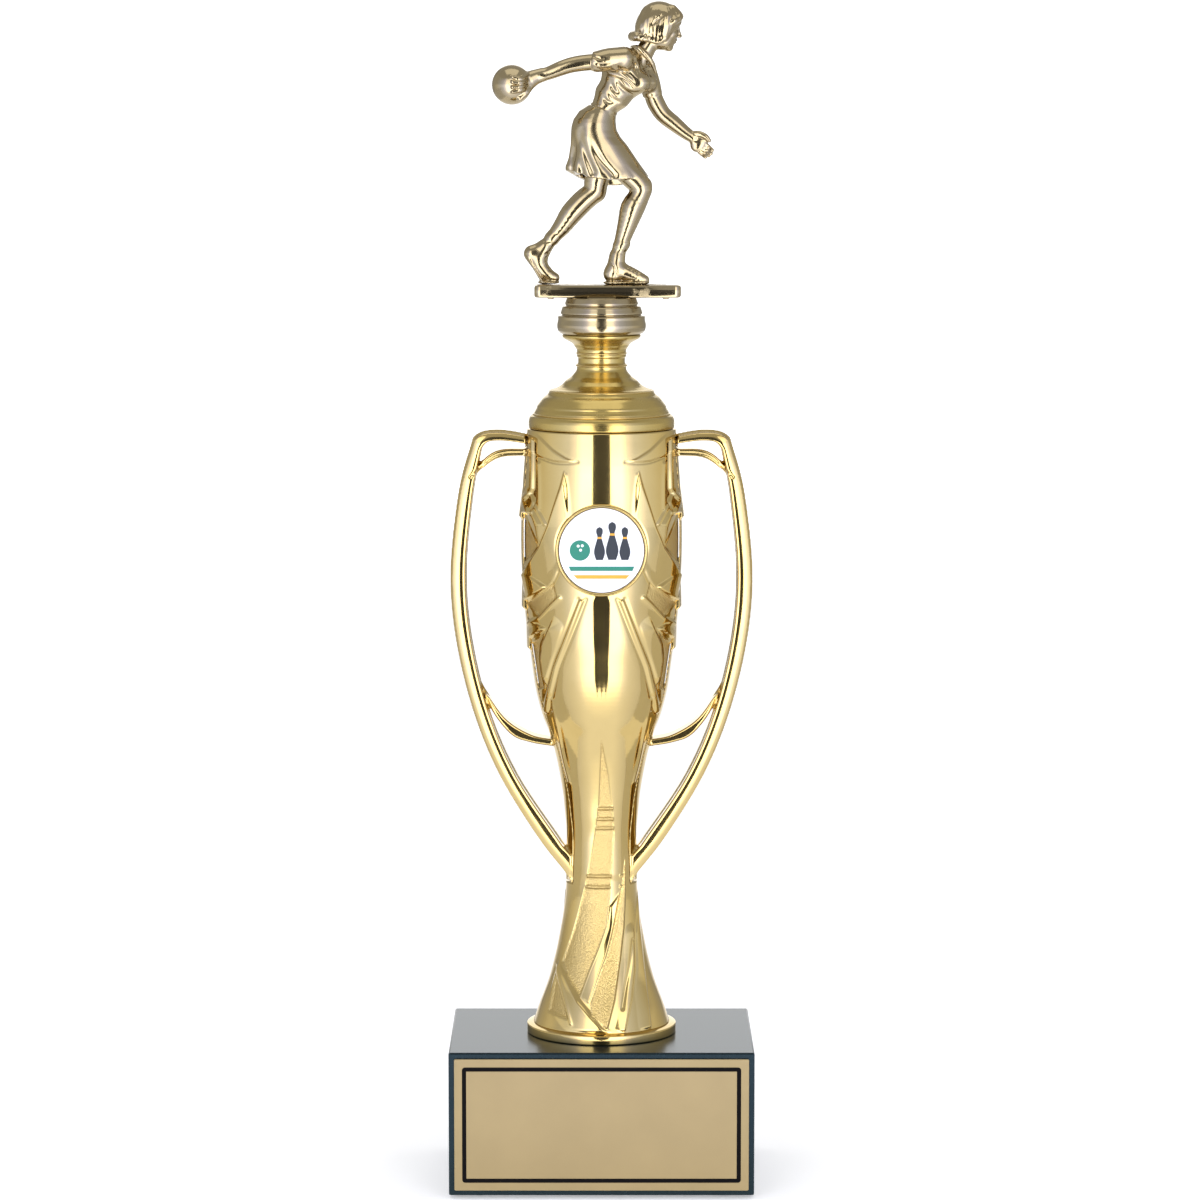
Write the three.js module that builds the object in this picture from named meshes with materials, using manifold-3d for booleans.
// Bowling trophy: a marble block carries a metallised plastic cup with two strap handles and a lid.
// A bowler screws down on top of it. One threaded rod runs up the middle and clamps the whole stack.
// Millimetres, +Z up. Origin: centre of the underside, on the rod's axis. -Y is the front.
import * as THREE from 'three';
import { mergeVertices } from 'three/addons/utils/BufferGeometryUtils.js';
import { ConvexGeometry } from 'three/addons/geometries/ConvexGeometry.js';
import Module from 'manifold-3d';

const wasm = await Module();
wasm.setup();

// ---------------------------------------------------------------- driving dimensions
const SIDES = 32;             // facets round a large turned piece
const SMALL_SIDES = 20;       // facets round a small one
const GAP = 0.3;              // clearance round a piece that plugs into another

const BASE = { width: 90, depth: 64, bottom: 1, top: 43.8, bevel: 0.5 };
const PAD = { radius: 5, inset: 9 };
const PLAQUE = { width: 86.6, height: 39.3, thickness: 0.6, tape: 0.3, tapeInset: 1.5 };

const ROD = { radius: 2.8, bottom: 3, top: 264, hole: 3.4 };
const HEX = { flats: 10, bore: 3.05 };                 // M6 nuts
const BASE_WASHER = { radius: 9, hole: 3.2, thickness: 1.6 };
const BASE_NUT = 5;                                    // thickness
const COUNTERBORE = { radius: 13, top: 14 };

const CUP = {
  rimRadius: 22.35, rimTop: 46.7,                      // flange that stands on the marble
  webBottom: 89, webTop: 93,                           // floor between the foot and the bowl
  top: 225.2,
  // outline from the flange to the mouth: radius, height
  outline: [
    [20.4, 46.9], [18.6, 52.2], [15.3, 62], [12.7, 72.5], [11.2, 82], [10.5, 91], [10.5, 103],
    [11.3, 115], [13.7, 127.5], [17.4, 139], [20.2, 151], [22.3, 167], [23.6, 181], [23.9, 195],
    [23.3, 211], [22.1, 225.2],
  ],
};
const CHANNEL = { halfWidth: 6.3, depth: 0.4, wall: 1.0, bottom: 89.5, top: 222.8 };

const HANDLE = {
  halfDepth: 6,              // the strap is 12 wide, front to back
  stayHalfDepth: 4,          // the two curved stays are narrower
  strapOuter: [[38.4, 222.6], [42.4, 206.5], [44.9, 183], [43.5, 163], [38.5, 141.4],
    [30.8, 122], [19.2, 102.8], [8.9, 89.6]],
  strapInner: [[36.0, 221.0], [38.0, 205], [40.0, 183], [38.5, 163], [33.4, 141.4],
    [25.2, 122], [13.0, 103.4], [8.9, 97.6]],
  barTop: [[22, 223.1], [30, 224.1], [38.4, 222.6]],
  barBottom: [[22, 220.7], [30, 221.7], [37.2, 220.4]],
  archTop: [[22, 219.2], [31.3, 218.4], [38.6, 212.6]],
  archBottom: [[22, 217.5], [31, 216.5], [38.8, 210.4]],
  stayTop: [[14.5, 132.6], [21.3, 134.2], [28.9, 139.2], [35.6, 149]],
  stayBottom: [[14.5, 130.6], [21.3, 131.8], [27.2, 134.4], [34.6, 143.5]],
  pegs: [112, 206],          // heights of the two pegs that pass through the cup's wall
};

const EMBLEM = {
  height: 191.4, radius: 13.6, back: 21.7, floor: 23.7, face: 25.5,
  discRadius: 12.4, discThickness: 0.9, tapeRadius: 11.5, tapeThickness: 0.4,
};

const LID = {
  bottom: CUP.top,
  top: 253,
  outline: [
    [21.6, 225.2], [21.6, 227.6], [20.2, 229.8], [19.4, 231.2], [17.6, 233.8], [15.4, 236.4],
    [13.6, 237.1], [10.7, 239.2], [8.2, 241.4], [7.2, 243.4], [7.0, 245.3], [7.3, 247.6],
    [8.3, 250], [11.4, 251.9], [11.7, 253],
  ],
  cavity: [[18.9, 221.4], [18.9, 228], [17.4, 231], [14.2, 234.6], [9, 237.6], [5.6, 240.6],
    [5.2, 246.8]],
  spigotRadius: 19.4, spigotBottom: 221.4,
};
const NECK = { recess: 6.6, floor: 248.6, washerRadius: 6.2, washer: 1.0, nut: 3.2 };

const COLLAR = {
  bottom: 253.05, top: 263.9, flats: 13.8,
  outline: [
    [11.6, 253.05], [12.9, 254.1], [13.1, 255.4], [12.6, 258.6], [12.0, 258.7], [11.5, 261.4],
    [10.7, 261.5], [10.3, 263.9],
  ],
};
const PLATE = {
  xMin: -19.8, xMax: 23.4, halfDepth: 5.5, bottom: 263.95, top: 267.7, corner: 1.8,
  bossFlats: 13, bossBottom: 254.6, nutPocketTop: 261, rodHoleTop: 264.6,
  slot: { xMin: -2.2, xMax: 19, y: -1.6, halfWidth: 1.25, floor: 265.5 },
  pips: [-15, 19],
};
const INSERT = { bottom: 255.75, top: 260.75 };
const SOLE = PLATE.top + 0.05;

// ---------------------------------------------------------------- solids and meshes
function solid(geometry) {
  const bare = new THREE.BufferGeometry();
  bare.setAttribute('position', geometry.attributes.position.clone());
  if (geometry.index) bare.setIndex(geometry.index.clone());
  const merged = mergeVertices(bare, 1e-4);
  const corners = merged.index.array;
  const triangles = [];
  for (let i = 0; i < corners.length; i += 3) {
    const [a, b, c] = corners.slice(i, i + 3);
    if (a !== b && b !== c && c !== a) triangles.push(a, b, c);   // none shrunk to a line
  }
  return new wasm.Manifold(new wasm.Mesh({
    numProp: 3,
    vertProperties: merged.attributes.position.array,
    triVerts: new Uint32Array(triangles),
  }));
}

function geometryOf(body) {
  const { vertProperties, triVerts, numProp } = body.getMesh();
  const positions = new Float32Array((vertProperties.length / numProp) * 3);
  for (let i = 0; i < positions.length / 3; i += 1) {
    for (let k = 0; k < 3; k += 1) positions[3 * i + k] = vertProperties[numProp * i + k];
  }
  const geometry = new THREE.BufferGeometry();
  geometry.setAttribute('position', new THREE.BufferAttribute(positions, 3));
  geometry.setIndex(Array.from(triVerts));
  geometry.computeVertexNormals();
  return geometry;
}

// A closed profile of [radius, height] points turned about the Z axis.
function turned(profile, sides = SIDES) {
  const points = profile.map(([radius, height]) => new THREE.Vector2(radius, height));
  return solid(new THREE.LatheGeometry(points, sides).rotateX(Math.PI / 2));
}

// A full solid of revolution under an outline that climbs from the bottom to the top.
function turnedSolid(outline, sides = SIDES) {
  const bottom = outline[0][1];
  const top = outline[outline.length - 1][1];
  return turned([[0, bottom], ...outline, [0, top]], sides);
}

function cylinder(radius, bottom, top, sides = SMALL_SIDES) {
  const height = top - bottom;
  return solid(new THREE.CylinderGeometry(radius, radius, height, sides)
    .rotateX(Math.PI / 2).translate(0, 0, bottom + height / 2));
}

// A cylinder whose axis runs front to back at a given height.
function plug(radius, yFront, yBack, height, sides = SIDES) {
  const length = yBack - yFront;
  return solid(new THREE.CylinderGeometry(radius, radius, length, sides)
    .translate(0, yFront + length / 2, height));
}

function block(xMin, xMax, yMin, yMax, zMin, zMax) {
  return solid(new THREE.BoxGeometry(xMax - xMin, yMax - yMin, zMax - zMin)
    .translate((xMin + xMax) / 2, (yMin + yMax) / 2, (zMin + zMax) / 2));
}

function hexPrism(flats, bottom, top) {
  return cylinder(flats / Math.sqrt(3), bottom, top, 6);
}

function washer(radius, hole, bottom, thickness) {
  const top = bottom + thickness;
  return cylinder(radius, bottom, top).subtract(cylinder(hole, bottom - 1, top + 1));
}

function nut(bottom, thickness) {
  const top = bottom + thickness;
  return hexPrism(HEX.flats, bottom, top).subtract(cylinder(HEX.bore, bottom - 1, top + 1));
}

// Points along a smooth curve through the given [a, b] points.
function smooth(points, pieces) {
  const curve = new THREE.SplineCurve(points.map(([a, b]) => new THREE.Vector2(a, b)));
  return curve.getPoints(pieces).map((p) => [p.x, p.y]);
}

// The band between two curves drawn in the XZ plane, given a depth from front to back.
function band(edgeA, edgeB, halfDepth, side) {
  const outline = [...edgeA, ...edgeB.slice().reverse()]
    .map(([x, z]) => new THREE.Vector2(side * x, z));
  return solid(new THREE.ExtrudeGeometry(new THREE.Shape(outline), {
    depth: 2 * halfDepth, bevelEnabled: false,
  }).rotateX(Math.PI / 2).translate(0, halfDepth, 0));
}

const group = new THREE.Group();

function add(name, body, look) {
  const mesh = new THREE.Mesh(geometryOf(body), new THREE.MeshStandardMaterial(look));
  mesh.name = name;
  group.add(mesh);
}

const LOOKS = {
  gold: { color: 0xc9a655, roughness: 0.22, metalness: 1 },
  champagne: { color: 0xcbbf96, roughness: 0.16, metalness: 1 },
  marble: { color: 0x1b252c, roughness: 0.08, metalness: 0 },
  plaque: { color: 0xc3ad83, roughness: 0.45, metalness: 0.6 },
  print: { color: 0xf6f6f4, roughness: 0.3, metalness: 0 },
  tape: { color: 0xe8e8e0, roughness: 0.9, metalness: 0 },
  zinc: { color: 0xb9bcc0, roughness: 0.35, metalness: 1 },
  brass: { color: 0xb5923d, roughness: 0.3, metalness: 1 },
  pad: { color: 0x17171a, roughness: 0.95, metalness: 0 },
};

// ---------------------------------------------------------------- base
function makeBase() {
  const { width, depth, bottom, top, bevel } = BASE;
  const half = { x: width / 2 - bevel, y: depth / 2 - bevel };
  const shape = new THREE.Shape([
    new THREE.Vector2(-half.x, -half.y), new THREE.Vector2(half.x, -half.y),
    new THREE.Vector2(half.x, half.y), new THREE.Vector2(-half.x, half.y),
  ]);
  const stone = solid(new THREE.ExtrudeGeometry(shape, {
    depth: top - bottom - 2 * bevel, bevelEnabled: true, bevelSize: bevel,
    bevelThickness: bevel, bevelSegments: 1,
  }).translate(0, 0, bottom + bevel));
  add('marble_base', stone
    .subtract(cylinder(ROD.hole, bottom - 1, top + 1))
    .subtract(cylinder(COUNTERBORE.radius, bottom - 1, COUNTERBORE.top, SIDES)), LOOKS.marble);

  for (const [row, sy] of [['front', -1], ['back', 1]]) {
    for (const [hand, sx] of [['left', -1], ['right', 1]]) {
      const x = sx * (width / 2 - PAD.inset);
      const y = sy * (depth / 2 - PAD.inset);
      add(`foot_pad_${row}_${hand}`, cylinder(PAD.radius, 0, bottom).translate([x, y, 0]),
        LOOKS.pad);
    }
  }
}

function makePlaque() {
  const front = -BASE.depth / 2;
  const middle = (BASE.bottom + BASE.top) / 2;
  const half = { x: PLAQUE.width / 2, z: PLAQUE.height / 2 };
  const tape = { x: half.x - PLAQUE.tapeInset, z: half.z - PLAQUE.tapeInset };
  add('plaque_tape', block(-tape.x, tape.x, front - PLAQUE.tape, front,
    middle - tape.z, middle + tape.z), LOOKS.tape);
  add('plaque', block(-half.x, half.x, front - PLAQUE.tape - PLAQUE.thickness,
    front - PLAQUE.tape, middle - half.z, middle + half.z), LOOKS.plaque);
}

function makeRodAndFasteners() {
  const washerBottom = COUNTERBORE.top - BASE_WASHER.thickness;
  add('centre_rod', cylinder(ROD.radius, ROD.bottom, ROD.top), LOOKS.zinc);
  add('base_washer', washer(BASE_WASHER.radius, BASE_WASHER.hole, washerBottom,
    BASE_WASHER.thickness), LOOKS.zinc);
  add('base_nut', nut(washerBottom - BASE_NUT, BASE_NUT), LOOKS.zinc);
  add('neck_washer', washer(NECK.washerRadius, BASE_WASHER.hole, NECK.floor, NECK.washer),
    LOOKS.zinc);
  add('neck_nut', nut(NECK.floor + NECK.washer, NECK.nut), LOOKS.zinc);
}

// ---------------------------------------------------------------- cup and handles
const cupOutline = smooth(CUP.outline, 24);

function cupRadius(height) {
  for (let i = 1; i < cupOutline.length; i += 1) {
    const [r0, z0] = cupOutline[i - 1];
    const [r1, z1] = cupOutline[i];
    if (height <= z1) return r0 + ((r1 - r0) * (height - z0)) / (z1 - z0);
  }
  return cupOutline[cupOutline.length - 1][0];
}

// Half the distance between the flat floors of the two side channels.
function seat(height) {
  return Math.sqrt(cupRadius(height) ** 2 - CHANNEL.halfWidth ** 2) - CHANNEL.depth;
}

function heights(bottom, top, pieces) {
  return Array.from({ length: pieces + 1 }, (_, i) => bottom + ((top - bottom) * i) / pieces);
}

// A block on one side of the cup, between two distances from the axis.
function slab(inner, outer, bottom, top, side, halfWidth = 10) {
  return band([[inner, bottom], [outer, bottom]], [[inner, top], [outer, top]], halfWidth, side);
}

function pegBlock(height, side, clearance) {
  const inner = seat(height) - 2.6;
  const outer = seat(height) + 1.2;
  const reach = 2 + clearance;
  return slab(inner, outer, height - reach, height + reach, side, 1.5 + clearance);
}

function makeCup() {
  const footWall = 2.2;
  const bowl = turnedSolid([
    ...heights(CUP.webTop, CUP.top, 14).map((z) => [seat(z) - CHANNEL.wall, z]),
    [seat(CUP.top) - CHANNEL.wall, CUP.top + 1],
  ]);
  const foot = turnedSolid([
    [20.4 - footWall, BASE.top - 1],
    ...heights(CUP.rimTop + 0.5, CUP.webBottom, 7).map((z) => [cupRadius(z) - footWall - 1, z]),
  ]);
  const { height, radius, back, face } = EMBLEM;
  const emblemBoss = plug(radius + 1.5, -face, -(back - 1.7), height);

  let body = turnedSolid([[CUP.rimRadius, BASE.top], [CUP.rimRadius, CUP.rimTop], ...cupOutline])
    .subtract(bowl.subtract(emblemBoss))
    .subtract(foot)
    .subtract(cylinder(ROD.hole, BASE.top - 1, CUP.top))
    .subtract(plug(radius + GAP, -face - 5, -back, height));
  for (const side of [-1, 1]) {
    const rows = heights(CHANNEL.bottom, CHANNEL.top, 16);
    const floor = rows.map((z) => [seat(z), z]);
    const beyond = rows.map((z) => [cupRadius(z) + 3, z]);
    body = body.subtract(band(floor, beyond, CHANNEL.halfWidth, side));
    for (const peg of HANDLE.pegs) body = body.subtract(pegBlock(peg, side, GAP));
  }
  add('cup_body', body, LOOKS.gold);
}

function makeHandle(name, side) {
  const { halfDepth, stayHalfDepth } = HANDLE;
  const rows = heights(CHANNEL.bottom + GAP, CHANNEL.top - GAP, 16);
  const railInner = rows.map((z) => [seat(z) + GAP, z]);
  const railOuter = rows.map((z) => [cupRadius(z), z]);
  let handle = band(smooth(HANDLE.strapOuter, 22), smooth(HANDLE.strapInner, 22), halfDepth, side)
    .add(band(smooth(HANDLE.barTop, 5), smooth(HANDLE.barBottom, 5), halfDepth, side))
    .add(band(smooth(HANDLE.archTop, 6), smooth(HANDLE.archBottom, 6), stayHalfDepth, side))
    .add(band(smooth(HANDLE.stayTop, 8), smooth(HANDLE.stayBottom, 8), stayHalfDepth, side))
    .subtract(band(railOuter.map(([r, z]) => [r - 6, z]), railInner, halfDepth + 1, side))
    .subtract(slab(0, cupRadius(CHANNEL.bottom) + GAP, 80, CHANNEL.bottom + GAP, side))
    .subtract(slab(0, cupRadius(CHANNEL.top) + 2 * GAP, CHANNEL.top - GAP, 230, side))
    .add(band(railInner, railOuter, halfDepth, side));
  for (const peg of HANDLE.pegs) handle = handle.add(pegBlock(peg, side, 0));
  add(name, handle, LOOKS.gold);
}

function makeEmblem() {
  const { height, radius, back, floor, face } = EMBLEM;
  const { discRadius, discThickness, tapeRadius, tapeThickness } = EMBLEM;
  add('emblem_bezel', plug(radius, -face, -back - 0.1, height)
    .subtract(plug(discRadius + GAP, -face - 1, -floor, height)), LOOKS.gold);
  add('emblem_tape', plug(tapeRadius, -floor - tapeThickness, -floor, height), LOOKS.tape);
  add('emblem_disc', plug(discRadius, -floor - tapeThickness - discThickness,
    -floor - tapeThickness, height), LOOKS.print);
}

function makeLid() {
  const spigot = turned([
    [LID.cavity[0][0] - 1, LID.spigotBottom], [LID.spigotRadius, LID.spigotBottom],
    [LID.spigotRadius, LID.bottom + 1.5], [LID.cavity[0][0] - 1, LID.bottom + 1.5],
    [LID.cavity[0][0] - 1, LID.spigotBottom],
  ]);
  const cavity = turnedSolid([[LID.cavity[0][0] - 1, LID.spigotBottom - 1], ...LID.cavity
    .map(([r, z]) => [r - 1, z])]);
  add('lid', turnedSolid(LID.outline)
    .add(spigot)
    .subtract(cavity)
    .subtract(cylinder(ROD.hole, LID.spigotBottom, LID.top))
    .subtract(cylinder(NECK.recess, NECK.floor, LID.top + 1)), LOOKS.gold);
}

// ---------------------------------------------------------------- figure
function makeCollar() {
  add('figure_collar', turnedSolid(COLLAR.outline)
    .subtract(hexPrism(COLLAR.flats, COLLAR.bottom - 1, COLLAR.top + 1)), LOOKS.champagne);
}

function makePlate() {
  const { xMin, xMax, halfDepth, bottom, top, corner, slot } = PLATE;
  const shape = new THREE.Shape();
  const corners = [
    [xMax - corner, -halfDepth + corner, -Math.PI / 2], [xMax - corner, halfDepth - corner, 0],
    [xMin + corner, halfDepth - corner, Math.PI / 2], [xMin + corner, -halfDepth + corner, Math.PI],
  ];
  for (const [x, y, start] of corners) {
    shape.absarc(x, y, corner, start, start + Math.PI / 2, false);
  }
  let plate = solid(new THREE.ExtrudeGeometry(shape, {
    depth: top - bottom, bevelEnabled: false, curveSegments: 4,
  }).translate(0, 0, bottom))
    .add(hexPrism(PLATE.bossFlats, PLATE.bossBottom, bottom + 0.6))
    .subtract(hexPrism(HEX.flats + 2 * GAP, PLATE.bossBottom - 1, PLATE.nutPocketTop))
    .subtract(cylinder(ROD.radius + 2 * GAP, PLATE.bossBottom, PLATE.rodHoleTop))
    .subtract(block(slot.xMin, slot.xMax, slot.y - slot.halfWidth, slot.y + slot.halfWidth,
      slot.floor, top + 1));
  for (const x of PLATE.pips) {
    plate = plate.add(cylinder(1.1, bottom - 0.6, bottom + 0.5, 10).translate([x, 0, 0]));
  }
  add('figure_plate', plate, LOOKS.champagne);
  add('thread_insert', nut(INSERT.bottom, INSERT.top - INSERT.bottom), LOOKS.brass);
}

// The convex skin round balls given as [x, y, z, radius].
function skin(...balls) {
  const points = [];
  for (const [x, y, z, radius] of balls) {
    const ball = new THREE.SphereGeometry(radius, 7, 6).translate(x, y, z).attributes.position;
    for (let i = 0; i < ball.count; i += 1) {
      points.push(new THREE.Vector3().fromBufferAttribute(ball, i));
    }
  }
  return solid(new ConvexGeometry(points));
}

// A bowler at the end of the swing: she faces +X, with the ball behind her in the right hand.
function makeBowler() {
  const ball = [-26, -6.2, 326.2];
  const near = -1.6;         // the right leg, nearer the front
  const far = 1.9;           // the left leg
  const pieces = [
    // head, hair and neck
    skin([17.6, -0.2, 344.2, 6.1], [20, -0.2, 340, 3.4], [13.2, 0, 341, 3.6]),
    skin([16, 0, 340, 2.3], [11.5, 0.3, 333.4, 2.8]),
    // chest, waist and belt
    skin([7.3, -4.2, 332.5, 3.2], [12.6, 3.8, 330.6, 3.2], [9.4, -1.2, 326.6, 4]),
    skin([9, -0.8, 327.5, 4.6], [1.2, 0, 319.2, 4.2], [4, -0.4, 326.8, 3.8]),
    // right arm, swung back to the ball
    skin([6.4, -5.2, 333.6, 3.1], [-2, -6.4, 332.7, 2.5]),
    skin([-2, -6.4, 332.7, 2.2], [-10.9, -6.8, 331.1, 1.9]),
    skin([-10.9, -6.8, 331.1, 1.9], [-19, -6.6, 328.8, 1.5]),
    skin([-19, -6.6, 328.8, 1.6], [-22.4, -7.8, 327.4, 2.2]),
    skin([...ball, 5.9]),
    // left arm, held out in front
    skin([13, 4.6, 330.6, 2.9], [15.2, 5.8, 323, 2.3]),
    skin([15.2, 5.8, 323, 2], [17.8, 6, 319, 1.8]),
    skin([17.8, 6, 319, 1.8], [26.6, 5.4, 311.4, 1.35]),
    skin([26.6, 5.4, 311.4, 1.4], [29.6, 5.2, 308.8, 1.8], [32, 5, 306.4, 1.2]),
    // skirt
    skin([1.2, 0, 318.4, 4.2], [-4, 0, 314.5, 4.9], [0, 0, 313.5, 5.2]),
    skin([-4, 0, 314, 4.9], [-7.6, -1.8, 303.6, 2.2], [-7.6, 1.8, 303.6, 2.2],
      [10.4, -2.6, 303, 2.4], [10.4, 2, 303, 2.4], [0.6, 0, 313, 5], [-2, 0, 302.6, 5]),
    // right leg in front
    skin([7, near, 303, 4], [11.8, near, 296.6, 3]),
    skin([11.8, near, 296.6, 2.9], [8.4, near, 290, 3.1]),
    skin([8.4, near, 290, 3.1], [5.7, near, 279.2, 1.8]),
    skin([5.7, near, 279.2, 1.9], [3.3, near, 271, 2.3], [9, near, 271.6, 1.8]),
    skin([3.2, near, 269.4, 2.1], [12.4, near, 268.8, 1.9]),
    // left leg behind, on its toe
    skin([-2, far, 303, 4], [-1.4, far, 294.2, 3]),
    skin([-1.4, far, 294.2, 2.9], [-8, far, 289, 2.9]),
    skin([-8, far, 289, 2.8], [-14.4, far, 281.2, 1.7]),
    skin([-14.4, far, 281.2, 1.8], [-19.8, far, 276.8, 2.3], [-15.6, far, 276.4, 1.9]),
    skin([-19.6, far, 276.2, 2.1], [-16.4, far, 269.8, 1.9], [-14.2, far, 269.8, 1.8]),
  ];
  const { slot } = PLATE;
  const tab = block(1, 12, slot.y - slot.halfWidth + GAP, slot.y + slot.halfWidth - GAP,
    slot.floor + GAP, SOLE + 2);
  const figure = pieces.reduce((whole, piece) => whole.add(piece))
    .subtract(block(-40, 40, -20, 20, SOLE - 12, SOLE))
    .add(tab);
  add('bowler_figure', figure, LOOKS.champagne);
}

makeBase();
makePlaque();
makeRodAndFasteners();
makeCup();
makeHandle('handle_left', -1);
makeHandle('handle_right', 1);
makeEmblem();
makeLid();
makeCollar();
makePlate();
makeBowler();

export default group;
